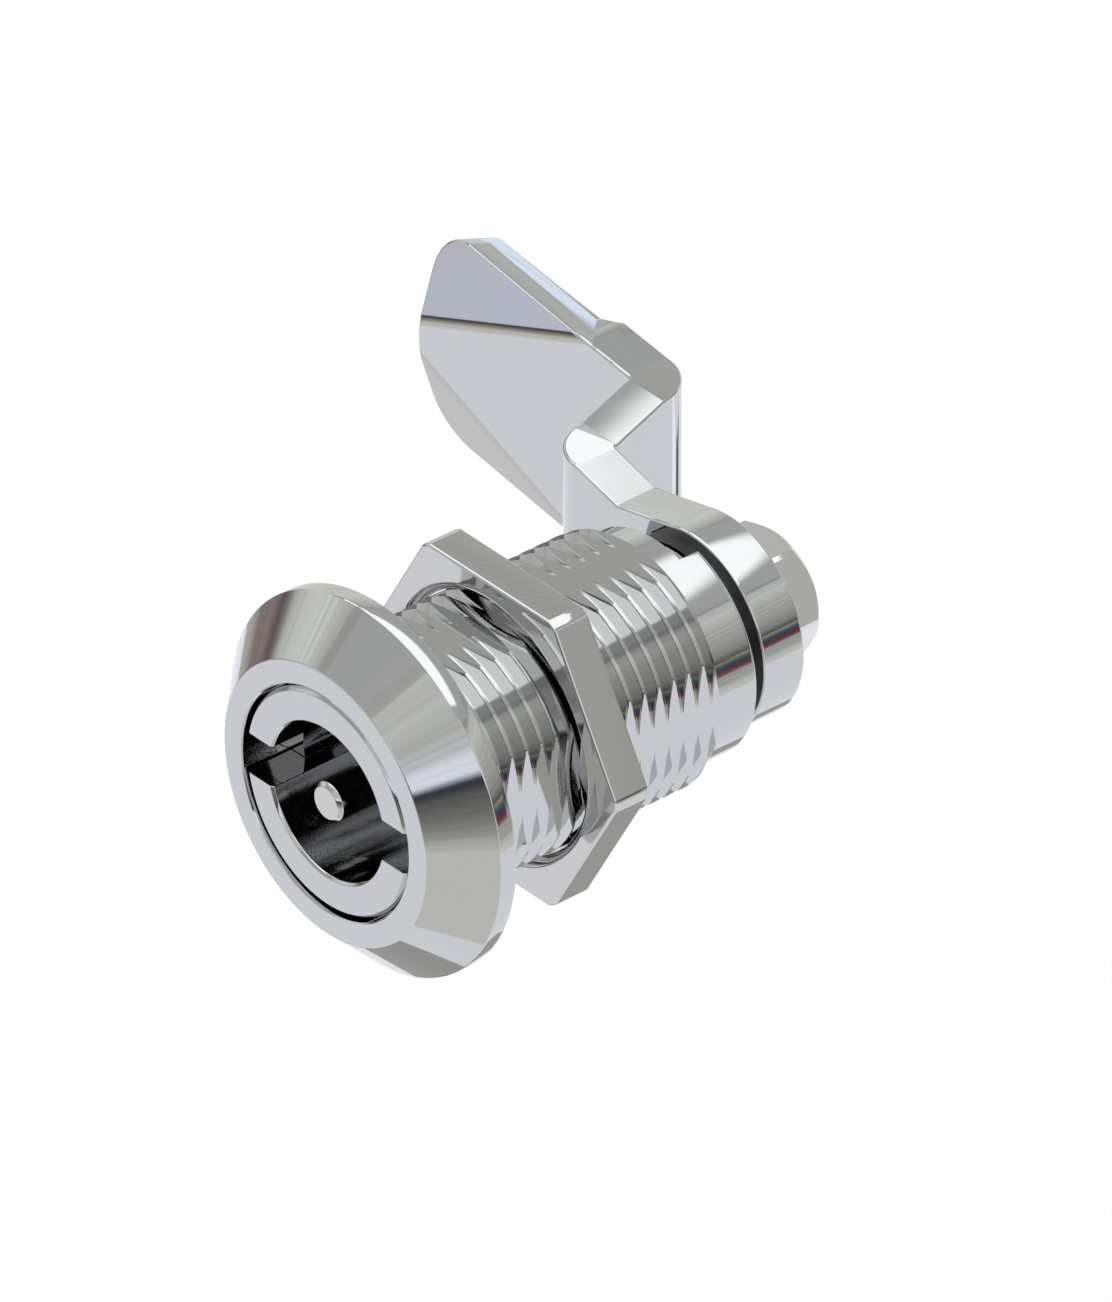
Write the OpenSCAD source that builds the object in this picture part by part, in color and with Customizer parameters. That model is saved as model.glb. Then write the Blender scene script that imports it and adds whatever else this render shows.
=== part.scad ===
// Quarter-turn latch with a double-bit socket, a flatted barrel, a hex nut and a cranked cam.
// Origin: centre of the head's rear seating face, on the lock axis.
// +Y runs along the lock axis into the cabinet, +Z is up, and the cam points to -X at rest.

/* [Head] */
// Diameter of the head over its rim
head_d = 28; // [24:0.5:36]
// Height of the head in front of the door
head_h = 5; // [4.4:0.1:7]
// Height of the straight rim behind the cone
rim_h = 1.4; // [0.8:0.1:2.4]
// Outer diameter of the flat ring round the driver
face_d = 20.8; // [18.5:0.1:23]
// Diameter of the pocket that holds the driver's head
pocket_d = 17.2; // [16:0.1:17.8]
// Thickness left between the pocket's floor and the seating face
pocket_floor = 0.9; // [0.6:0.1:1.5]

/* [Barrel] */
// Diameter of the barrel over its thread
thread_d = 19; // [18.2:0.1:22]
// Distance across the barrel's opposite flats
flats_af = 17.3; // [17.3:0.1:18]
// Length of the flatted, threaded stretch behind the head
thread_len = 22.6; // [18:0.2:30]
// Diameter of the plain collar at the barrel's end
collar_d = 17.2; // [16.4:0.1:17.2]
// Length of the plain collar
collar_len = 3.4; // [2.6:0.1:6]

/* [Driver] */
// Diameter of the driver's drum behind its head
drum_d = 14; // [13.4:0.1:14.4]
// Diameter of the driver's shank behind the drum
shank_d = 10.4; // [9.8:0.1:11]
// Length of the drum behind the head
drum_len = 13.2; // [12.5:0.1:15]
// Diameter of the key socket
socket_d = 11.6; // [10.6:0.1:12.2]
// Depth of the key socket
socket_depth = 12; // [9:0.1:12.4]
// Width of the two slots for the key's bits
slot_w = 3.2; // [2.8:0.1:3.8]
// Depth of the two slots
slot_depth = 8; // [5:0.5:9]
// Size of the square that carries the cam
square_af = 8; // [7.4:0.1:8.6]

/* [Guide pin] */
// Diameter of the pin in the socket
pin_d = 3; // [2.5:0.1:4]
// Diameter of the pin's pressed root
pin_root_d = 3.4; // [3.2:0.1:5]
// Length of the pin's pressed root
pin_root_len = 4; // [2.5:0.1:4.5]
// Distance from the driver's face back to the pin's tip
pin_inset = 0; // [0:0.1:2]

/* [Seal and spring] */
// Thickness of the seal ring's cord
seal_d = 1.3; // [1:0.05:1.5]
// Thickness of the conical spring
spring_t = 0.4; // [0.3:0.05:0.5]
// Free height of the conical spring
spring_h = 0.7; // [0.55:0.05:1]

/* [Rotation stop] */
// Angle that the cam turns through
turn_angle = 90; // [45:5:90]
// Half of the angle that the stop lug takes up
lug_half_angle = 16.5; // [10:0.5:18]
// Depth of the stop notch along the lock axis
notch_depth = 1.8; // [1.2:0.1:2.4]
// Width of the stop notch across the collar's wall
notch_wall = 1.8; // [1.4:0.1:2.2]
// Thickness of the stop washer
stop_t = 1.2; // [0.8:0.1:2]

/* [Cam] */
// Thickness of the cam's plate
cam_t = 3.6; // [2.5:0.1:4]
// Diameter of the cam's hub
hub_d = 15.2; // [14:0.1:17]
// Distance that the cranked tip lies behind the hub
cam_offset = 9.3; // [6:0.1:16]
// Distance from the lock axis to the cam's tip
cam_reach = 39.3; // [34:0.1:50]
// Distance from the lock axis to the neck behind the hub
neck_x = 7.7; // [7.6:0.1:9.5]
// Width of the cam at its neck
neck_w = 12.1; // [10.6:0.1:13]
// Distance from the lock axis to the first bend
bend_x = 11.8; // [11:0.1:14]
// Width of the cam at the first bend
bend_w = 14.3; // [12:0.1:15]
// Width of the cam at the second bend
crank_w = 15.6; // [15.2:0.1:16.6]
// Width of the cam at its tip
tip_w = 16.8; // [16.6:0.1:20]
// Angle of the crank from the arm
crank_angle = 77; // [60:1:85]
// Inner radius of the two bends
bend_r = 0.3; // [0.2:0.1:1]
// Length of the straight stretch between the second bend and the folded tip
land_len = 4.4; // [2:0.1:6]
// Width left flat between the two creases at the cam's end
tip_flat = 2.4; // [2.4:0.2:6]
// Angle that each corner of the tip is folded back by
fold_angle = 19; // [8:1:19]
// Radius of the tip's two corners
tip_r = 3.2; // [1:0.1:4]
// Depth of the bevel along the back of the tip's two long edges
tip_bevel = 0.25; // [0.1:0.05:0.5]
// Distance from the end of a crease to where this bevel starts
bevel_lead = 1; // [0.5:0.1:2]

/* [Cam bolt] */
// Diameter of the bolt's thread
bolt_d = 6; // [5:0.5:6]
// Length of the bolt under its head
bolt_len = 12; // [9:0.5:12]
// Distance across the flats of the bolt's head
bolt_af = 9; // [8:0.5:13]
// Height of the bolt's head
bolt_head_h = 4; // [3:0.1:5]
// Angle of the bevel on the bolt's head, from its end face
bolt_bevel = 45; // [20:5:60]
// Turn of the bolt's head about the lock axis, from +X towards +Z
bolt_turn = 1; // [-30:1:30]

/* [Mounting nut] */
// Distance across the nut's flats
nut_af = 23; // [22:0.5:30]
// Thickness of the nut
nut_t = 3; // [2.5:0.1:6]
// Size of the countersink at each end of the nut's bore
nut_lead = 0.6; // [0.2:0.1:1]
// Distance from the head's seating face to the nut
nut_gap = 9.4; // [1:0.1:16]

/* [Clearances] */
// Radial running clearance of the driver in the housing
running_gap = 0.05; // [0.02:0.01:0.1]
// Radial gap round the driver's head and behind pieces that must stay free
free_gap = 0.2; // [0.1:0.05:0.3]
// Radial clearance of the nut on the barrel
nut_clearance = 0.1; // [0.05:0.01:0.2]
// Clearance on each side of a square hole, and round a screwed or pressed piece
seat_gap = 0.04; // [0.02:0.01:0.1]
// Angular play of the stop lug at each end of its notch
stop_play = 0.5; // [0.2:0.1:1]
// Size of the small bevels on turned edges
edge_break = 0.2; // [0.1:0.05:0.3]

/* [Hidden] */
$fn = 96;

body_len = thread_len + collar_len;
face_y = -head_h + edge_break / 2;
pocket_y = -pocket_floor;
drum_y = pocket_y + drum_len;
socket_y = face_y + socket_depth;
step_y = drum_y + spring_h + 2 * running_gap;
stop_y = body_len + free_gap;
cam_y = stop_y + stop_t;
cam_back = cam_y + cam_t;
land_y = cam_y + cam_offset;
shank_r = shank_d / 2;
drum_r = drum_d / 2;
groove_w = seal_d + 2 * free_gap;
groove_y = (socket_y + drum_y) / 2;
groove_r = drum_r - seal_d;
pin_y = face_y + pin_inset;
square_len = cam_back - free_gap - stop_y;
bolt_hole_y = cam_back - bolt_len - 2 * free_gap;
arm_angle = 180;
notch_r = collar_d / 2 - notch_wall;
notch_from = arm_angle - turn_angle - lug_half_angle - stop_play;
notch_to = arm_angle + lug_half_angle + stop_play;
lug_in = notch_r + free_gap;
lug_out = collar_d / 2 - 1.5 * free_gap;
stop_r = lug_in - free_gap / 2;
bend_out = bend_r + cam_t;
arc_steps = 12;
lap = bend_r;
crank_len = (cam_offset - (cam_t + 2 * bend_r) * (1 - cos(crank_angle))) / sin(crank_angle);
crank_dx = (cam_t + 2 * bend_r) * sin(crank_angle) + crank_len * cos(crank_angle);
land_x = bend_x + crank_dx;
crease_x = land_x + land_len;
fold_len = cam_reach - crease_x;
fold_line_angle = atan((tip_w - tip_flat) / 2 / fold_len);
end_step = 0.05;
hub_r = hub_d / 2;
hub_tangent = atan2(neck_w / 2, neck_x) + acos(hub_r / norm([neck_x, neck_w / 2]));
cut = 1;

// Turns a shape drawn round Z so that it lies round the lock axis and grows along +Y.
module along_lock(y = 0) translate([0, y, 0]) rotate([-90, 0, 0]) children();

// Stands an outline drawn in X and Z up as a plate whose front face is at y.
module plate(y, t) translate([0, y + t, 0]) rotate([90, 0, 0]) linear_extrude(t) children();

// A wedge of a disc, in X and Z, between two angles measured from +X towards +Z.
module sector(r, from, to) {
    steps = ceil((to - from) / 15);
    reach = r / cos((to - from) / steps / 2) + cut;
    intersection() {
        circle(r);
        polygon(concat([[0, 0]], [for (i = [0 : steps])
            let (a = from + (to - from) * i / steps) reach * [cos(a), sin(a)]]));
    }
}

// A square with the corners turned off to the shank's diameter, larger by gap on every side.
module driving_square(gap = 0) {
    intersection() {
        square(square_af + 2 * gap, center = true);
        circle(shank_r + gap);
    }
}

// The diameter of a hexagon over its corners, from the distance across its flats.
function corners(af) = af / cos(30);

// A hexagonal prism across its flats, with its corners turned off to the diameter over_d.
module hexagon(af, h, over_d) {
    intersection() {
        cylinder(h = h, d = corners(af), $fn = 6);
        cylinder(h = h, d = over_d);
    }
}

module head() {
    along_lock() rotate_extrude()
        polygon([[0, -head_h], [face_d / 2, -head_h], [head_d / 2, -rim_h],
                 [head_d / 2, -edge_break], [head_d / 2 - edge_break, 0], [0, 0]]);
}

module barrel() {
    relief = (thread_d - collar_d) / 2;
    intersection() {
        along_lock(-cut / 2) rotate_extrude()
            polygon([[0, 0], [thread_d / 2, 0], [thread_d / 2, thread_len + cut / 2 - relief],
                     [collar_d / 2, thread_len + cut / 2],
                     [collar_d / 2, body_len + cut / 2 - 2 * edge_break],
                     [collar_d / 2 - 2 * edge_break, body_len + cut / 2], [0, body_len + cut / 2]]);
        translate([-flats_af / 2, -cut, -flats_af / 2]) cube([flats_af, body_len + 2 * cut, flats_af]);
    }
}

module housing_bore() {
    along_lock() rotate_extrude()
        polygon([[0, -head_h - cut], [pocket_d / 2 + edge_break + cut, -head_h - cut],
                 [pocket_d / 2, -head_h + edge_break], [pocket_d / 2, pocket_y],
                 [drum_r + running_gap, pocket_y], [drum_r + running_gap, step_y],
                 [shank_r + running_gap, step_y], [shank_r + running_gap, body_len + cut],
                 [0, body_len + cut]]);
}

module stop_notch() {
    plate(body_len - notch_depth, notch_depth + cut) difference() {
        sector(collar_d / 2 + cut, notch_from, notch_to);
        circle(notch_r);
    }
}

module housing() {
    color("silver") difference() {
        union() {
            head();
            barrel();
        }
        housing_bore();
        stop_notch();
    }
}

module driver_blank() {
    head_r = pocket_d / 2 - free_gap;
    along_lock() rotate_extrude()
        polygon([[0, face_y], [head_r - 1.5 * edge_break, face_y], [head_r, face_y + 1.5 * edge_break],
                 [head_r, pocket_y - running_gap], [drum_r, pocket_y - running_gap],
                 [drum_r, groove_y - groove_w / 2], [groove_r, groove_y - groove_w / 2],
                 [groove_r, groove_y + groove_w / 2], [drum_r, groove_y + groove_w / 2],
                 [drum_r, drum_y - edge_break], [drum_r - edge_break, drum_y], [shank_r, drum_y],
                 [shank_r, stop_y], [0, stop_y]]);
    plate(stop_y - cut, square_len + cut) driving_square();
}

module driver() {
    color("gainsboro") difference() {
        driver_blank();
        along_lock(face_y - cut) cylinder(h = socket_depth + cut, d = socket_d);
        along_lock(face_y) cylinder(h = edge_break, d1 = socket_d + 2 * edge_break, d2 = socket_d);
        translate([-pocket_d / 2, face_y - cut, -slot_w / 2]) cube([pocket_d, slot_depth + cut, slot_w]);
        along_lock(socket_y - cut) cylinder(h = pin_root_len + cut + free_gap, d = pin_root_d + 2 * seat_gap);
        along_lock(bolt_hole_y) cylinder(h = bolt_len + cut, d = bolt_d + 2 * seat_gap);
    }
}

module guide_pin() {
    free_end = socket_y - pin_y;
    color("lightgray") along_lock(pin_y) rotate_extrude()
        polygon([[0, 0], [pin_d / 2 - 1.5 * edge_break, 0], [pin_d / 2, 1.5 * edge_break],
                 [pin_d / 2, free_end], [pin_root_d / 2, free_end],
                 [pin_root_d / 2, free_end + pin_root_len], [0, free_end + pin_root_len]]);
}

module seal_ring() {
    color("dimgray") along_lock(groove_y) rotate_extrude()
        translate([drum_r - seal_d / 2, 0]) circle(d = seal_d, $fn = 32);
}

module disc_spring() {
    inner = shank_r + free_gap;
    outer = drum_r - free_gap;
    color("slategray") along_lock(drum_y + running_gap) rotate_extrude()
        polygon([[inner, 0], [outer, spring_h - spring_t], [outer, spring_h], [inner, spring_t]]);
}

module stop_washer() {
    color("lightslategray") {
        plate(stop_y, stop_t) difference() {
            union() {
                circle(stop_r);
                sector(lug_out, arm_angle - lug_half_angle, arm_angle + lug_half_angle);
            }
            driving_square(seat_gap);
        }
        plate(body_len - notch_depth + free_gap, notch_depth - free_gap + stop_y - body_len) difference() {
            sector(lug_out, arm_angle - lug_half_angle, arm_angle + lug_half_angle);
            circle(lug_in);
        }
    }
}

// Points along an arc in X and Y.
function arc(centre, r, from, to) = [for (i = [0 : arc_steps])
    let (a = from + (to - from) * i / arc_steps) centre + r * [cos(a), sin(a)]];

// The plate's section in X and Y: hub, first bend, crank, second bend and land.
module bent_section() {
    first = [-bend_x, cam_back + bend_r];
    second = [-land_x, land_y - bend_r];
    polygon(concat([[hub_r + cut, cam_y]],
                   arc(first, bend_out, 270, 270 - crank_angle),
                   arc(second, bend_r, 90 - crank_angle, 90),
                   [[-cam_reach, land_y], [-cam_reach, land_y + cam_t]],
                   arc(second, bend_out, 90, 90 - crank_angle),
                   arc(first, bend_r, 270 - crank_angle, 270),
                   [[hub_r + cut, cam_back]]));
}

// The arm's outline: round the hub, in along its tangents to the neck and out to the first bend.
module arm_outline() {
    tangent = hub_r * [cos(hub_tangent), sin(hub_tangent)];
    half = [tangent, [-neck_x, neck_w / 2], [-bend_x, bend_w / 2], [-bend_x - lap, bend_w / 2]];
    circle(hub_r);
    polygon(concat(half, [for (i = [len(half) - 1 : -1 : 0]) [half[i][0], -half[i][1]]]));
}

// The crank's outline in Y and Z, widening between the two bends.
module crank_outline() {
    from_y = cam_back + bend_r * (1 - cos(crank_angle));
    to_y = land_y - bend_r * (1 - cos(crank_angle));
    half = [[cam_y - cut, bend_w / 2], [from_y, bend_w / 2], [to_y, crank_w / 2],
            [land_y + cam_t + cut, crank_w / 2]];
    polygon(concat(half, [for (i = [len(half) - 1 : -1 : 0]) [half[i][0], -half[i][1]]]));
}

// The land and the flat middle of the tip, which narrows between the two folded corners.
module land_outline() {
    half = [[-land_x, crank_w / 2], [-crease_x, tip_w / 2], [-cam_reach, tip_flat / 2]];
    polygon(concat(half, [for (i = [len(half) - 1 : -1 : 0]) [half[i][0], -half[i][1]]]));
}

// One corner of the tip, drawn from its crease outwards and folded back about the crease.
module folded_corner() {
    stretch = 1 / cos(fold_angle);
    crease = (fold_len - end_step) / cos(fold_line_angle);
    straight = (fold_len - tip_r) * [cos(fold_line_angle), sin(fold_line_angle) * stretch];
    slope = 2 * tip_bevel / cam_t;
    corner = [for (p = concat([[0, 0]],
        [for (a = [0 : 15 : 90]) [fold_len - tip_r + tip_r * sin(a), tip_r * cos(a) - tip_r]]))
            [p[0] * cos(fold_line_angle) - p[1] * sin(fold_line_angle),
             (p[0] * sin(fold_line_angle) + p[1] * cos(fold_line_angle)) * stretch]];
    translate([-crease_x, land_y, tip_w / 2]) rotate([0, -fold_line_angle, 0]) rotate([-fold_angle, 0, 0])
        difference() {
            plate(0, cam_t) mirror([1, 0]) polygon(concat(corner, [[crease, 0]]));
            rotate([0, atan2(straight[1], straight[0]), 0]) translate([-norm(straight) - tip_r, 0, 0])
                rotate([90, 0, 90]) linear_extrude(norm(straight) + tip_r - bevel_lead)
                    polygon([[cam_t / 2 - cut, slope * cut], [cam_t + cut, -tip_bevel - slope * cut],
                             [cam_t + cut, slope * cut]]);
        }
}

module cam() {
    color("silver") difference() {
        union() {
            intersection() {
                linear_extrude(tip_w + 2 * cut, center = true) bent_section();
                union() {
                    plate(cam_y - cut, cam_t + 2 * cut) arm_outline();
                    plate(land_y - cut, cam_t + 2 * cut) land_outline();
                    translate([-land_x - lap, 0, 0]) rotate([90, 0, 90])
                        linear_extrude(land_x - bend_x + lap / 2) crank_outline();
                }
            }
            folded_corner();
            mirror([0, 0, 1]) folded_corner();
        }
        plate(cam_y - cut, cam_t + 2 * cut) driving_square(seat_gap);
    }
}

module cam_bolt() {
    flank_d = bolt_af + 2 * bolt_head_h / tan(bolt_bevel);
    color("lightgray") {
        along_lock(cam_back) rotate([0, 0, -bolt_turn]) intersection() {
            hexagon(bolt_af, bolt_head_h, corners(bolt_af) - edge_break);
            cylinder(h = bolt_head_h, d1 = flank_d, d2 = bolt_af);
        }
        along_lock(cam_back - bolt_len) cylinder(h = bolt_len + edge_break, d = bolt_d);
    }
}

module mounting_nut() {
    bore_r = thread_d / 2 + nut_clearance;
    color("silver") along_lock(nut_gap) difference() {
        hexagon(nut_af, nut_t, corners(nut_af) - 2 * edge_break);
        translate([0, 0, -cut]) cylinder(h = nut_t + 2 * cut, r = bore_r);
        cylinder(h = nut_lead, r1 = bore_r + nut_lead, r2 = bore_r);
        translate([0, 0, nut_t - nut_lead]) cylinder(h = nut_lead, r1 = bore_r, r2 = bore_r + nut_lead);
    }
}

housing();
driver();
guide_pin();
seal_ring();
disc_spring();
stop_washer();
cam();
cam_bolt();
mounting_nut();
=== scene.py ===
"""Quarter-turn latch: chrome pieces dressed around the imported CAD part, with a soft studio."""

import math

import bmesh
import bpy
from mathutils import Matrix, Vector


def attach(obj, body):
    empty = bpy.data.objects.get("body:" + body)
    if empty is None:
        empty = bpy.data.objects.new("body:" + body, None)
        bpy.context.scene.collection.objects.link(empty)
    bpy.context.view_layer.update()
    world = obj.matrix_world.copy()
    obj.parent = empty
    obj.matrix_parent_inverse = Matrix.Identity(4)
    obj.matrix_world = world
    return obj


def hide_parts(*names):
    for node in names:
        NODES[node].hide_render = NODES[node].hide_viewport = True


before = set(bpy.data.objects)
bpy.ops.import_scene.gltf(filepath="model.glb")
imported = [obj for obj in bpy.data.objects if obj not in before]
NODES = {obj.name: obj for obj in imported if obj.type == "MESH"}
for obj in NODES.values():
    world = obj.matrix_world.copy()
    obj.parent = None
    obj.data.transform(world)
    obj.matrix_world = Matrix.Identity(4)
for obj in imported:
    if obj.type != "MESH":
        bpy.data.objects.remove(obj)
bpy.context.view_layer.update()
MM = 0.001

# The photograph's camera: viewing angles in degrees, scale at the lock's origin, distance in
# millimetres, and the pixel where the origin falls in the 1112 by 1302 frame.
AZIMUTH, ELEVATION = 49.33, 33.83
PX_PER_MM, DISTANCE = 14.925, 2000
ORIGIN_PX = (381.5, 776.5)
FRAME_PX = (1112, 1302)
SENSOR = 36


def make_camera():
    """A camera along the viewing angles, moved across its view until the origin falls on its pixel."""
    a, e = math.radians(AZIMUTH), math.radians(ELEVATION)
    back = Vector((math.sin(a) * math.cos(e), -math.cos(a) * math.cos(e), math.sin(e)))
    right = Vector((math.cos(a), math.sin(a), 0))
    up = back.cross(right)
    dx = (ORIGIN_PX[0] - FRAME_PX[0] / 2) / PX_PER_MM
    dy = (FRAME_PX[1] / 2 - ORIGIN_PX[1]) / PX_PER_MM
    data = bpy.data.cameras.new("camera")
    data.sensor_fit = "HORIZONTAL"
    data.sensor_width = SENSOR
    data.lens = PX_PER_MM * DISTANCE / FRAME_PX[0] * SENSOR
    data.clip_start, data.clip_end = 0.1, 20
    camera = bpy.data.objects.new("camera", data)
    place = (DISTANCE * back - dx * right - dy * up) * MM
    camera.matrix_world = Matrix.Translation(place) @ Matrix((right, up, back)).transposed().to_4x4()
    bpy.context.scene.collection.objects.link(camera)
    bpy.context.scene.camera = camera


make_camera()

# Materials

# Each noise is its scale and detail. POLISH is the roughness of the best and worst polished spots, as
# shares of a metal's own.
POLISH_NOISE, RIPPLE_NOISE, GRAIN_NOISE = (220, 4), (140, 1), (6000, 3)
POLISH = (0.7, 1.4)
RIPPLE_STRENGTH, RIPPLE_DEPTH, GRAIN_DEPTH = 0.008, MM, 0.1 * MM


def socket(node, name, value):
    node.inputs[name].default_value = value


def make_metal(name, colour, roughness, grain=0.0):
    """Polished metal: uneven polish in the roughness, a faint ripple and fine turning marks in the bump."""
    material = bpy.data.materials.new(name)
    material.use_nodes = True
    nodes, links = material.node_tree.nodes, material.node_tree.links
    shader = nodes["Principled BSDF"]
    socket(shader, "Base Color", (*colour, 1))
    socket(shader, "Metallic", 1.0)
    place = nodes.new("ShaderNodeTexCoord").outputs["Object"]

    def noise(scale, detail):
        node = nodes.new("ShaderNodeTexNoise")
        socket(node, "Scale", scale)
        socket(node, "Detail", detail)
        links.new(place, node.inputs["Vector"])
        return node.outputs["Fac"]

    def bump(height, strength, distance):
        node = nodes.new("ShaderNodeBump")
        socket(node, "Strength", strength)
        socket(node, "Distance", distance)
        links.new(height, node.inputs["Height"])
        return node

    spread = nodes.new("ShaderNodeMapRange")
    socket(spread, "To Min", roughness * POLISH[0])
    socket(spread, "To Max", roughness * POLISH[1])
    links.new(noise(*POLISH_NOISE), spread.inputs["Value"])
    links.new(spread.outputs["Result"], shader.inputs["Roughness"])
    surface = bump(noise(*RIPPLE_NOISE), RIPPLE_STRENGTH, RIPPLE_DEPTH)
    if grain:
        fine = bump(noise(*GRAIN_NOISE), grain, GRAIN_DEPTH)
        links.new(surface.outputs["Normal"], fine.inputs["Normal"])
        surface = fine
    links.new(surface.outputs["Normal"], shader.inputs["Normal"])
    return material


CHROME = make_metal("chrome", (0.60, 0.605, 0.61), 0.055)
DRIVER_CHROME = make_metal("driver_chrome", (0.59, 0.595, 0.605), 0.09)
CAM_CHROME = make_metal("cam_chrome", (0.60, 0.605, 0.61), 0.04)
NUT_CHROME = make_metal("nut_chrome", (0.605, 0.605, 0.60), 0.05)
BRIGHT_STEEL = make_metal("bright_steel", (0.63, 0.62, 0.60), 0.07, grain=0.02)
PLATED_STEEL = make_metal("plated_steel", (0.74, 0.74, 0.725), 0.08, grain=0.02)
BLACK_STEEL = make_metal("black_steel", (0.05, 0.05, 0.055), 0.35, grain=0.1)
RUBBER = make_metal("rubber", (0.03, 0.03, 0.03), 0.5)
socket(RUBBER.node_tree.nodes["Principled BSDF"], "Metallic", 0.0)

# Mesh tools

# A rounded corner may take this share of the edges beside it, and a corner that turns by less than
# twice (90 - STRAIGHT) degrees stays as it is. Points closer than SAME, in metres, are one point, and
# those of the CAD part's meshes when closer than CAD_SAME.
ROOM, STRAIGHT = 0.45, 88
SAME, CAD_SAME = 1e-8, 1e-7
BEVEL_STEPS = 3


def new_object(name, mesh):
    thing = bpy.data.objects.new(name, mesh)
    bpy.context.scene.collection.objects.link(thing)
    return thing


def from_bmesh(name, bm):
    bmesh.ops.recalc_face_normals(bm, faces=bm.faces)
    mesh = bpy.data.meshes.new(name)
    bm.to_mesh(mesh)
    bm.free()
    return new_object(name, mesh)


def edit_mesh(thing, *steps):
    """Runs each step on the thing's mesh."""
    bm = bmesh.new()
    bm.from_mesh(thing.data)
    for step in steps:
        step(bm)
    bm.to_mesh(thing.data)
    bm.free()


def rounded(points, radius, steps=4):
    """The closed outline with every corner turned into an arc of that radius, where there is room."""
    out = []
    count = len(points)
    for i, here in enumerate(points):
        here = Vector(here)
        before, after = Vector(points[i - 1]) - here, Vector(points[(i + 1) % count]) - here
        half = before.angle(after) / 2
        if here[0] == 0 or math.degrees(half) > STRAIGHT:
            out.append(tuple(here))
            continue
        reach = min(radius / math.tan(half), before.length * ROOM, after.length * ROOM)
        size = reach * math.tan(half)
        centre = here + (before.normalized() + after.normalized()).normalized() * (size / math.sin(half))
        start = here + before.normalized() * reach - centre
        end = here + after.normalized() * reach - centre
        for k in range(steps + 1):
            out.append(tuple(centre + size * start.slerp(end, k / steps)))
    return out


def revolve(name, outline, segments=256):
    """A closed solid turned about the lock axis from an outline of (radius, y) in millimetres."""
    bm = bmesh.new()
    turns = [2 * math.pi * i / segments for i in range(segments)]
    rings = []
    for r, y in outline:
        if r == 0:
            rings.append([bm.verts.new((0, y * MM, 0))] * segments)
        else:
            rings.append([bm.verts.new((r * MM * math.cos(t), y * MM, r * MM * math.sin(t))) for t in turns])
    for k, ring in enumerate(rings):
        other = rings[(k + 1) % len(rings)]
        for i in range(segments):
            j = (i + 1) % segments
            corners = []
            for v in (ring[i], ring[j], other[j], other[i]):
                if v not in corners:
                    corners.append(v)
            if len(corners) > 2:
                bm.faces.new(corners)
    return from_bmesh(name, bm)


def prism(name, outline, low, high):
    """A closed solid between two heights along the lock axis, from an outline of (x, z) in millimetres."""
    bm = bmesh.new()
    ends = [[bm.verts.new((x * MM, y * MM, z * MM)) for x, z in outline] for y in (low, high)]
    bm.faces.new(ends[0])
    bm.faces.new(ends[1][::-1])
    for i in range(len(outline)):
        j = (i + 1) % len(outline)
        bm.faces.new((ends[0][j], ends[0][i], ends[1][i], ends[1][j]))
    return from_bmesh(name, bm)


def skin(bm, rows):
    """Joins neighbouring rows of points with four-sided faces."""
    for a, b in zip(rows, rows[1:]):
        for i in range(len(a) - 1):
            bm.faces.new((a[i], a[i + 1], b[i + 1], b[i]))


def apply_modifiers(thing):
    evaluated = thing.evaluated_get(bpy.context.evaluated_depsgraph_get())
    thing.data, old = bpy.data.meshes.new_from_object(evaluated), thing.data
    thing.modifiers.clear()
    bpy.data.meshes.remove(old)


def combine(thing, other, operation):
    """Joins the other solid to the thing, cuts it away or keeps what both share, and uses it up."""
    step = thing.modifiers.new(operation, "BOOLEAN")
    step.operation, step.object, step.solver = operation, other, "MANIFOLD"
    apply_modifiers(thing)
    bpy.data.objects.remove(other)


def clip(bm, point, normal):
    """Cuts away what lies beyond a plane and closes the cut."""
    bmesh.ops.bisect_plane(bm, geom=bm.verts[:] + bm.edges[:] + bm.faces[:], dist=SAME,
                           plane_co=point, plane_no=normal, clear_outer=True)
    bmesh.ops.holes_fill(bm, edges=[e for e in bm.edges if e.is_boundary])


def bevel(thing, width, limit, clamp=True):
    """Rounds edges that turn by more than the limit in degrees, by a width in millimetres."""
    step = thing.modifiers.new("bevel", "BEVEL")
    step.width, step.segments = width * MM, BEVEL_STEPS
    step.limit_method, step.angle_limit = "ANGLE", math.radians(limit)
    step.use_clamp_overlap = clamp
    step.miter_outer = "MITER_ARC"
    apply_modifiers(thing)


def smooth(thing, angle, crisp=None):
    """Shades the thing smooth, apart from edges that turn by more than the angle or that crisp picks."""
    thing.data.shade_smooth()
    thing.data.set_sharp_from_angle(angle=math.radians(angle))

    def mark_crisp(bm):
        for edge in bm.edges:
            if crisp(edge):
                edge.smooth = False

    if crisp:
        edit_mesh(thing, mark_crisp)
    step = thing.modifiers.new("weights", "WEIGHTED_NORMAL")
    step.keep_sharp = True
    apply_modifiers(thing)


def dress(thing, node, body, material):
    """Gives the thing its material and slot, and lets it stand in for a node of the CAD part."""
    thing.data.materials.clear()
    thing.data.materials.append(material)
    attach(thing, body)
    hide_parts(node)


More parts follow.
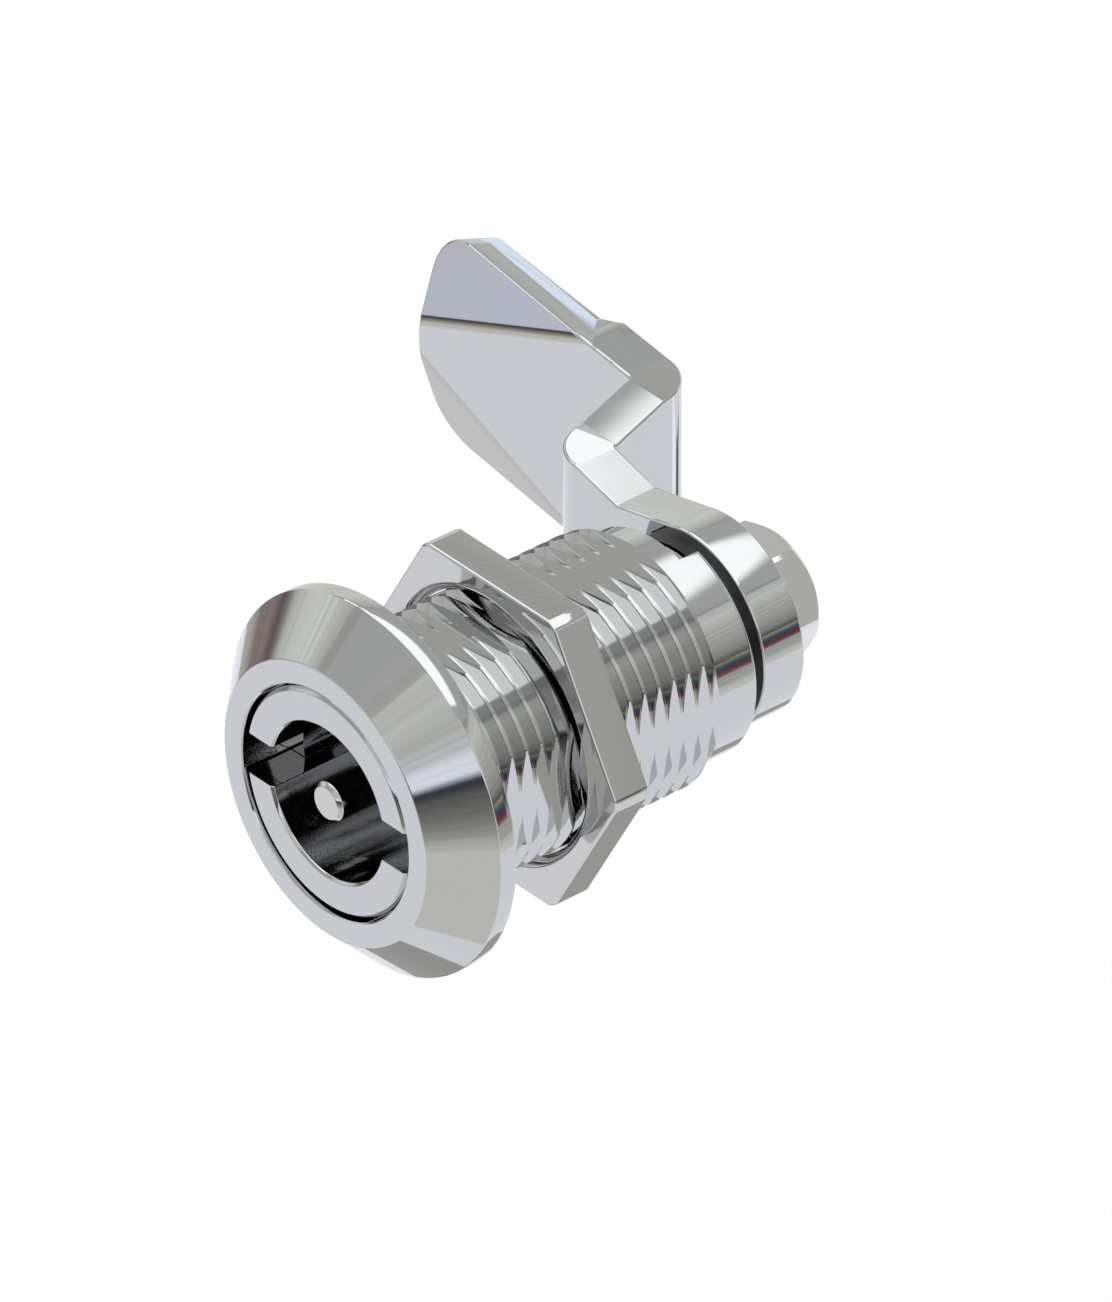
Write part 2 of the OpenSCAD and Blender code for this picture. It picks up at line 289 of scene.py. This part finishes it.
# Housing, in millimetres: head, thread, collar, bore, the thread's own shape, and the notch between
# two angles in degrees.
HEAD_R, HEAD_H, RIM_H, FACE_R, HEAD_ROUND = 14.0, 5.0, 1.4, 10.4, 0.22
THREAD_R, ROOT_R, FLAT, THREAD_LEN = 9.5, 8.7, 8.65, 22.6
COLLAR_R, BODY_LEN, COLLAR_ROUND = 8.6, 26.0, 0.35
POCKET_R, POCKET_CHAMFER, DRUM_BORE, SHANK_BORE, POCKET_Y, STEP_Y = 8.6, 0.1, 7.05, 5.25, -0.9, 13.1
PITCH, CREST, ROOT = 1.3, 0.16, 0.24
NOTCH_Y, NOTCH_R, NOTCH_FROM, NOTCH_TO = 24.2, 6.8, 73, 197

# How far the solids that are joined sink into each other, how far a cutter passes what it cuts, and
# how far the thread's end cone passes its crest.
THREAD_SINK, COLLAR_SINK, PAST, CONE_PAST = 0.5, 0.4, 1, 0.3


def threaded_bar(steps=192, spare=2):
    """A bar with a right-handed V thread, cut square at both ends and flatted on four sides."""
    bm = bmesh.new()
    shape = [(-CREST / 2, THREAD_R), (CREST / 2, THREAD_R), (PITCH / 2 - ROOT / 2, ROOT_R),
             (PITCH / 2 + ROOT / 2, ROOT_R)]
    turns = math.ceil(THREAD_LEN / PITCH) + 2 * spare
    rows = []
    for y, r in [(k * PITCH + s, r) for k in range(turns + 1) for s, r in shape]:
        row = []
        for i in range(steps + 1):
            t = 2 * math.pi * i / steps
            row.append(bm.verts.new((r * math.sin(t) * MM, (y - spare * PITCH + PITCH * i / steps) * MM,
                                     r * math.cos(t) * MM)))
        rows.append(row)
    skin(bm, rows)
    bmesh.ops.remove_doubles(bm, verts=bm.verts, dist=SAME)
    clip(bm, (0, -THREAD_SINK * MM, 0), (0, -1, 0))
    clip(bm, (0, THREAD_LEN * MM, 0), (0, 1, 0))
    for side in (1, -1):
        clip(bm, (side * FLAT * MM, 0, 0), (side, 0, 0))
        clip(bm, (0, 0, side * FLAT * MM), (0, 0, side))
    return from_bmesh("thread", bm)


def thread_envelope():
    """What the thread may fill: a plain bar with a cone down to the collar at its end."""
    wide = THREAD_R + CONE_PAST
    return revolve("envelope", [(0, -PAST), (wide, -PAST), (wide, THREAD_LEN - (wide - COLLAR_R)),
                                (COLLAR_R, THREAD_LEN), (0, THREAD_LEN)])


def housing_bore():
    """The face's pocket with its chamfer, the drum's bore and the shank's bore, in one cutter."""
    front = (POCKET_R + PAST + POCKET_CHAMFER, -HEAD_H - PAST)
    return revolve("bore", [(0, front[1]), front, (POCKET_R, -HEAD_H + POCKET_CHAMFER),
                            (POCKET_R, POCKET_Y), (DRUM_BORE, POCKET_Y), (DRUM_BORE, STEP_Y),
                            (SHANK_BORE, STEP_Y), (SHANK_BORE, BODY_LEN + PAST), (0, BODY_LEN + PAST)])


def stop_notch(steps=16):
    """The cutter for the collar's notch, in which the stop washer's lug turns."""
    angles = [math.radians(NOTCH_FROM + (NOTCH_TO - NOTCH_FROM) * k / steps) for k in range(steps + 1)]
    ring = [(NOTCH_R * math.cos(a), NOTCH_R * math.sin(a)) for a in angles]
    ring += [(THREAD_R * math.cos(a), THREAD_R * math.sin(a)) for a in reversed(angles)]
    return prism("notch", ring, NOTCH_Y, BODY_LEN + PAST)


def make_housing():
    """The head with its rim, the threaded barrel and the collar, bored and notched."""
    head = revolve("housing_chrome", rounded([(0, -HEAD_H), (FACE_R, -HEAD_H), (HEAD_R, -RIM_H),
                                              (HEAD_R, 0), (0, 0)], HEAD_ROUND))
    thread = threaded_bar()
    combine(thread, thread_envelope(), "INTERSECT")
    foot = THREAD_LEN - COLLAR_SINK
    collar = revolve("collar", rounded([(0, foot), (COLLAR_R, foot), (COLLAR_R, BODY_LEN), (0, BODY_LEN)],
                                       COLLAR_ROUND))
    combine(head, thread, "UNION")
    combine(head, collar, "UNION")
    combine(head, housing_bore(), "DIFFERENCE")
    combine(head, stop_notch(), "DIFFERENCE")
    smooth(head, 30)
    dress(head, "housing", "housing", CHROME)


make_housing()

# Pieces that are the CAD part's own, with rounded edges. Faces that turn by less than FLAT_ANGLE are
# one face, and edges that turn by less than SMOOTH_ANGLE are shaded smooth, in degrees.
FLAT_ANGLE, SMOOTH_ANGLE = 0.4, 40


def cad_copy(node, name):
    """A CAD piece's mesh with its doubled points merged, as a new object."""
    bm = bmesh.new()
    bm.from_mesh(NODES[node].data)
    bmesh.ops.remove_doubles(bm, verts=bm.verts, dist=CAD_SAME)
    return from_bmesh(name, bm)


def merge_flats(bm):
    bmesh.ops.dissolve_limit(bm, angle_limit=math.radians(FLAT_ANGLE), verts=bm.verts, edges=bm.edges)


def bevelled(node, body, name, material, width, limit=15):
    """A CAD piece with rounded edges."""
    thing = cad_copy(node, name)
    edit_mesh(thing, merge_flats)
    bevel(thing, width, limit)
    smooth(thing, SMOOTH_ANGLE)
    dress(thing, node, body, material)


# Cam, in millimetres and degrees: the hub, the point (x, z) where the arm meets it, the rounding of
# the tip's creases, the short edges at the tip's end, the bevel, and the first bend's centre (x, y).
# The fairing ends at FAIRING_END of the hub's radius.
HUB_R, CAM_Y, CAM_T = 7.6, 27.4, 3.6
NECK, FAIRING, FAIRING_END = (-7.7, 6.05), 1, 0.996
CREASE_WIDTH, CREASE_STEPS, CREASE_ANGLE = 1.4, 6, 10
TIP_END, SLIVER = -38, 0.1
CAM_BEVEL, CAM_LIMIT = 0.2, 60
BEND, CRANK_ANGLE = (-11.8, 31.3), 77

# How squarely a face has to look along an axis, as a part of its normal, to count as the tip's front,
# as one of the long sides, or as one of their flats beside the first bend.
FRONT_FACING, SIDE_FACING, FLAT_SIDE = 0.9, 0.8, 0.999

# The flats of the cam's long sides meet at small angles. From the neck to just past the start of the
# first bend, larger angles count as well.
SIDE_ANGLES, BEND_ANGLE = (3, 12), 35
NEAR_NECK, PAST_BEND = 0.1, 0.5

# How far the normals of the arm's and the crank's long sides lean from the z axis, as slopes, and how
# far the softened flats may reach past the first bend in x and y.
ARM_SLOPE, CRANK_SLOPE = 0.268, 0.124
BEND_REACH = (1, 0.5)


def fair_hub(cam):
    """Runs the arm's two edges on into the hub along its tangents, to just inside the hub's round."""
    angle = math.atan2(NECK[1], -NECK[0]) + math.acos(HUB_R / math.hypot(*NECK))
    inside = FAIRING_END * HUB_R
    touch = (-inside * math.cos(angle), inside * math.sin(angle))
    foot = NECK[1] - FAIRING
    for side in (1, -1):
        outline = [(x, side * z) for x, z in (touch, NECK, (NECK[0], foot), (touch[0], foot))]
        combine(cam, prism("fairing", outline, CAM_Y, CAM_Y + CAM_T), "UNION")


def merge_slivers(bm):
    """Merges the points of the very short edges at the tip's end."""
    end = [v for v in bm.verts if v.co.x < TIP_END * MM]
    bmesh.ops.remove_doubles(bm, verts=end, dist=SLIVER * MM)


def soften_creases(bm):
    """Rounds the two creases on the front of the cam's tip."""
    creases = [e for e in bm.edges if len(e.link_faces) == 2
               and e.calc_face_angle() > math.radians(CREASE_ANGLE)
               and all(f.normal.y < -FRONT_FACING for f in e.link_faces)]
    bmesh.ops.bevel(bm, geom=creases, offset=CREASE_WIDTH / 2 * MM, offset_type="OFFSET",
                    segments=CREASE_STEPS, profile=0.5, affect="EDGES", clamp_overlap=True)


def side_corner(edge):
    """Whether an edge lies between two flats of the cam's long sides, which meet at a small angle."""
    if len(edge.link_faces) != 2 or any(abs(f.normal.z) < SIDE_FACING for f in edge.link_faces):
        return False
    behind_neck = [NECK[0] - v.co.x / MM for v in edge.verts]
    before_bend = max(behind_neck) < NECK[0] - BEND[0] + PAST_BEND
    limit = BEND_ANGLE if before_bend else SIDE_ANGLES[1]
    return min(behind_neck) > -NEAR_NECK and SIDE_ANGLES[0] < math.degrees(edge.calc_face_angle()) < limit


def soften_bend(cam):
    """Shades the flat corners of the first bend as a smooth turn from the arm's edge into the crank's."""
    mesh = cam.data
    normals = [Vector(corner.vector) for corner in mesh.corner_normals]
    farthest, last = BEND[0] - CAM_T - BEND_REACH[0], BEND[1] + BEND_REACH[1]
    for face in mesh.polygons:
        x, y, z = face.center / MM
        if abs(face.normal.z) < FLAT_SIDE or not farthest < x < BEND[0] or y > last:
            continue
        side = math.copysign(1, z)
        arm, crank = Vector((ARM_SLOPE, 0, side)), Vector((0, -CRANK_SLOPE, side))
        for corner in face.loop_indices:
            x, y, z = mesh.vertices[mesh.loops[corner].vertex_index].co / MM
            turn = math.degrees(math.atan2(BEND[0] - x, BEND[1] - y)) / CRANK_ANGLE
            normals[corner] = arm.lerp(crank, min(max(turn, 0), 1)).normalized()
    mesh.normals_split_custom_set(normals)


def make_cam():
    """The cam with a faired hub, rounded creases and bright rounded edges."""
    cam = cad_copy("cam", "cam_chrome")
    fair_hub(cam)
    edit_mesh(cam, merge_slivers, merge_flats, soften_creases)
    bevel(cam, CAM_BEVEL, CAM_LIMIT, clamp=False)
    smooth(cam, SMOOTH_ANGLE, side_corner)
    soften_bend(cam)
    dress(cam, "cam", "driver", CAM_CHROME)


bevelled("driver", "driver", "driver_chrome", DRIVER_CHROME, 0.06)
bevelled("guide_pin", "driver", "pin_chrome", BRIGHT_STEEL, 0.05)
make_cam()
bevelled("cam_bolt", "driver", "bolt_chrome", PLATED_STEEL, 0.12, limit=20)
bevelled("mounting_nut", "nut", "nut_chrome", NUT_CHROME, 0.2, limit=20)
for node, material in (("stop_washer", BLACK_STEEL), ("disc_spring", BLACK_STEEL), ("seal_ring", RUBBER)):
    NODES[node].data.materials.clear()
    NODES[node].data.materials.append(material)

# Studio, in metres: a pale floor, cards above and below that only reflections see, and a room of
# curved walls round the object. The cards below lie in three layers just above the floor.
FLOOR_R, FLOOR_PLACE = 0.55, (0.01, 0.01, -0.25)
CEILING, LAMP_Z = 1.6, 1.58
WIDE_CARD_Z, CARD_Z, TOP_CARD_Z = -0.245, -0.24, -0.235
WIDE_CARD_R = 2.2

# A wall has a column of faces every BAND_STEP degrees, in BAND_ROWS rows. A tone given as one number is
# this share of WARM. STREAKS is how far the light wavers along a wall's height, as a share, and
# STREAK_SCALE how finely.
BAND_STEP, BAND_ROWS = 3, 24
WARM = (0.985, 1.0, 0.93)
STREAKS, STREAK_SCALE = 0.12, 40


def glow(name, colour, strength, keep_shadow=0.0):
    """A surface of an even tone; keep_shadow mixes in plain diffuse white, which the object can shade."""
    material = bpy.data.materials.new(name)
    material.use_nodes = True
    nodes, links = material.node_tree.nodes, material.node_tree.links
    nodes.remove(nodes["Principled BSDF"])
    light = nodes.new("ShaderNodeEmission")
    socket(light, "Color", (*colour, 1))
    socket(light, "Strength", strength)
    result = light.outputs[0]
    if keep_shadow:
        matt = nodes.new("ShaderNodeBsdfDiffuse")
        socket(matt, "Color", (0.9, 0.9, 0.9, 1))
        mix = nodes.new("ShaderNodeMixShader")
        socket(mix, "Fac", keep_shadow)
        links.new(result, mix.inputs[1])
        links.new(matt.outputs[0], mix.inputs[2])
        result = mix.outputs[0]
    links.new(result, nodes["Material Output"].inputs["Surface"])
    return material


def stage_piece(thing, material, only_reflected=True):
    """Puts a piece of the studio on the stage, as a rule out of the camera's sight."""
    thing.data.materials.append(material)
    if only_reflected:
        thing.visible_camera = thing.visible_diffuse = thing.visible_shadow = False
    return thing


def make_world():
    world = bpy.data.worlds.new("studio")
    bpy.context.scene.world = world
    world.use_nodes = True
    background = world.node_tree.nodes["Background"]
    socket(background, "Color", (1, 1, 1, 1))
    socket(background, "Strength", 1.0)


def make_floor():
    bm = bmesh.new()
    bmesh.ops.create_circle(bm, cap_ends=True, segments=96, radius=FLOOR_R)
    bmesh.ops.translate(bm, verts=bm.verts, vec=FLOOR_PLACE)
    stage_piece(from_bmesh("floor", bm), glow("floor_white", (1, 1, 1), 1.05, 0.3), only_reflected=False)


def rectangle(x_range, y_range):
    (x0, x1), (y0, y1) = x_range, y_range
    return [(x0, y0), (x1, y0), (x1, y1), (x0, y1)]


def card(name, outline, height, colour, strength):
    """A flat card above or below the object, from an outline of (x, y) for each unit of height."""
    bm = bmesh.new()
    bm.faces.new([bm.verts.new((x * abs(height), y * abs(height), height)) for x, y in outline])
    return stage_piece(from_bmesh(name, bm), glow(name, colour, strength))


def split_place(nodes, links):
    """The outputs X, Y and Z of the place on the piece's surface."""
    parts = nodes.new("ShaderNodeSeparateXYZ")
    links.new(nodes.new("ShaderNodeTexCoord").outputs["Object"], parts.inputs[0])
    return parts.outputs


def soft_card(name, height, x_range, y_range, edge, border, colour, strength, around):
    """A card overhead whose light falls off to its border's tone. Sizes are for each unit of height."""
    reach = [(r[0] - edge - border, r[1] + edge + border) for r in (x_range, y_range)]
    thing = card(name, rectangle(*reach), height, colour, strength)
    tree = thing.data.materials[0].node_tree
    nodes, links = tree.nodes, tree.links
    place = split_place(nodes, links)
    inside = None
    for axis, limits in (("X", x_range), ("Y", y_range)):
        for at, out in zip(limits, (-1, 1)):
            fade = nodes.new("ShaderNodeMapRange")
            fade.interpolation_type = "SMOOTHSTEP"
            socket(fade, "From Min", (at - out * edge) * height)
            socket(fade, "From Max", (at + out * edge) * height)
            socket(fade, "To Min", 1.0)
            socket(fade, "To Max", 0.0)
            links.new(place[axis], fade.inputs["Value"])
            if inside is None:
                inside = fade.outputs["Result"]
                continue
            both = nodes.new("ShaderNodeMath")
            both.operation = "MULTIPLY"
            links.new(inside, both.inputs[0])
            links.new(fade.outputs["Result"], both.inputs[1])
            inside = both.outputs[0]
    power = nodes.new("ShaderNodeMapRange")
    socket(power, "To Min", around)
    socket(power, "To Max", strength)
    links.new(inside, power.inputs["Value"])
    links.new(power.outputs["Result"], nodes["Emission"].inputs["Strength"])


def wall(name, radius, azimuth, width, low, high):
    """A piece of a sphere round the object, between two heights in radians."""
    bm = bmesh.new()
    rows = []
    for k in range(width // BAND_STEP + 1):
        a = math.radians(azimuth - width / 2 + BAND_STEP * k)
        row = []
        for m in range(BAND_ROWS + 1):
            h = low + (high - low) * m / BAND_ROWS
            row.append(bm.verts.new((radius * math.cos(h) * math.cos(a), radius * math.cos(h) * math.sin(a),
                                     radius * math.sin(h))))
        rows.append(row)
    skin(bm, rows)
    return stage_piece(from_bmesh(name, bm), glow(name, (1, 1, 1), 1.0))


def band(name, radius, azimuth, width, tones):
    """A wall of the room. Its tones, or colours, are named from low to high at heights in degrees."""
    low, high = (math.radians(tones[k][0]) for k in (0, -1))
    thing = wall(name, radius, azimuth, width, low, high)
    nodes, links = thing.data.materials[0].node_tree.nodes, thing.data.materials[0].node_tree.links
    place = split_place(nodes, links)
    height = nodes.new("ShaderNodeMapRange")
    socket(height, "From Min", radius * math.sin(low))
    socket(height, "From Max", radius * math.sin(high))
    links.new(place["Z"], height.inputs["Value"])
    ramp = nodes.new("ShaderNodeValToRGB")
    links.new(height.outputs["Result"], ramp.inputs["Fac"])
    stops = ramp.color_ramp.elements
    stops[0].position, stops[1].position = 0, 1
    last = len(tones) - 1
    for k, (at, *tone) in enumerate(tones):
        if 0 < k < last:
            share = (math.sin(math.radians(at)) - math.sin(low)) / (math.sin(high) - math.sin(low))
            stop = stops.new(share)
        else:
            stop = stops[0 if k == 0 else len(stops) - 1]
        colour = tone if len(tone) == 3 else [part * tone[0] for part in WARM]
        stop.color = (*colour, 1)
    links.new(ramp.outputs["Color"], nodes["Emission"].inputs["Color"])
    streaks = nodes.new("ShaderNodeTexNoise")
    streaks.noise_dimensions = "1D"
    socket(streaks, "Scale", STREAK_SCALE / radius)
    socket(streaks, "Detail", 2)
    links.new(place["Z"], streaks.inputs["W"])
    power = nodes.new("ShaderNodeMapRange")
    socket(power, "To Min", 1 - 2 * STREAKS)
    socket(power, "To Max", 1 + 2 * STREAKS)
    links.new(streaks.outputs["Fac"], power.inputs["Value"])
    links.new(power.outputs["Result"], nodes["Emission"].inputs["Strength"])


def make_cards():
    """The ceiling's softbox with a lamp beside it, and the floor's tone with grey cards and a painted
    shadow.
    """
    soft_card("softbox", CEILING, (-0.945, 0.6), (-0.9, 0.715), edge=0.03, border=0.2,
              colour=(0.97, 0.99, 0.985), strength=1.6, around=0.55)
    card("side_lamp", rectangle((-1.4, -1.0), (-0.5, 0.25)), LAMP_Z, (1, 1, 1), 1.7)
    turns = [math.radians(a) for a in range(0, 360, 8)]
    circle = [(WIDE_CARD_R * math.cos(a), WIDE_CARD_R * math.sin(a)) for a in turns]
    card("low_card_wide", circle, WIDE_CARD_Z, (0.98, 1, 1.045), 0.955)
    card("low_card_front", [(0.0, -0.3), (0.7, -0.25), (1.75, -1.33), (1.5, -1.6), (1.2, -1.85)], CARD_Z,
         (1, 0.99, 0.93), 0.76)
    # A painted shadow: a dark card under the object and to its left, where reflections see the floor shaded
    # by the object.
    card("low_card_painted_shadow", [(-0.75, 0.0), (-0.3, -0.3), (0.0, 0.1), (0.0, 0.65), (-0.4, 0.95)],
         TOP_CARD_Z, (1, 0.99, 0.95), 0.43)
    card("low_card_side", rectangle((-1.3, -0.76), (-0.35, 0.5)), CARD_Z, (1, 1, 0.985), 0.76)
    card("low_card_back", rectangle((-0.35, 0.0), (1.25, 1.7)), CARD_Z, (0.9, 0.95, 1), 0.2)
    card("low_lamp_back", rectangle((0.06, 0.4), (1.25, 1.7)), CARD_Z, (0.95, 0.97, 1), 1.3)


def make_room():
    """The walls, from the right side round the front to the left and the back."""
    cool_white, lavender = (1.02, 1.07, 1.17), (0.74, 0.78, 0.9)
    band("right", 3.0, 37, 84,
         [(-25, 0.92), (-20, 0.72), (-16, 0.52), (-9, 0.48), (-4, 0.25), (-1, 0.08), (2, 0.14), (6, 0.34),
          (16, 0.53), (25, 0.62), (33, 0.78), (37, 0.7), (39, 0.42), (42, 0.5), (52, 0.6)])
    band("shelf", 2.9, 33, 16,
         [(-10, 0.34, 0.24, 0.22), (-8, 0.2, 0.06, 0.065), (-5.6, 0.17, 0.05, 0.06),
          (-4.8, 0.06, 0.07, 0.13), (-2.8, 0.06, 0.1, 0.18), (-1.9, 0.1, 0.18, 0.17),
          (-0.8, 0.24, 0.27, 0.17), (0.4, 0.38, 0.38, 0.29), (1.5, 0.12, 0.12, 0.12)])
    band("front_right", 2.95, -58, 66,
         [(-25, 0.78), (-20, 0.6), (-15, 0.4), (-7, 0.24), (1, 0.15), (5, 0.05, 0.055, 0.07),
          (6.5, 0.06, 0.065, 0.09), (8, 0.56, 0.6, 0.66), (9.5, *cool_white), (15, *cool_white),
          (18, 0.76, 0.78, 0.82), (26, 0.66), (33, 0.76), (52, 0.6)])
    front_low = [(-25, 0.9), (-21, 0.74, 0.7, 0.62), (-19.5, 0.5, 0.45, 0.38), (-18, 0.3, 0.26, 0.22),
                 (-16, 0.1), (-14.5, 0.1), (-13, *lavender)]
    band("front", 3.05, -116, 66,
         front_low + [(0, *lavender), (15, 0.7), (28, 0.5), (34, 0.44), (38, 0.55), (52, 0.5)])
    left_high = [(4, 0.66), (11, 0.82), (18, 0.89), (24, 0.82), (31, 0.5), (52, 0.5)]
    band("left_front", 3.0, -156, 24, front_low + [(0, 0.6)] + left_high)
    band("left", 2.95, 180, 48,
         [(-32, 0.6), (-22, 0.51), (-16, 0.32, 0.24, 0.21), (-12, 0.27, 0.25, 0.24), (-9, 0.33, 0.27, 0.25),
          (-3, 0.17, 0.12, 0.12), (1, 0.3)] + left_high)
    band("left_back", 3.1, 146, 24,
         [(-32, 0.78), (10, 0.78), (18, 0.88), (26, 0.74), (34, 0.52), (41, 0.57), (52, 0.6)])
    band("back", 3.05, 106, 58,
         [(-32, 0.8), (-12, 0.8), (-6, 0.95, 1.08, 1.25), (3, 0.95, 1.08, 1.25), (6.5, 0.62), (20, 0.62),
          (33, 0.53), (52, 0.57)])


def make_studio():
    bpy.context.scene.view_settings.view_transform = "Standard"
    make_world()
    make_floor()
    make_cards()
    make_room()


make_studio()
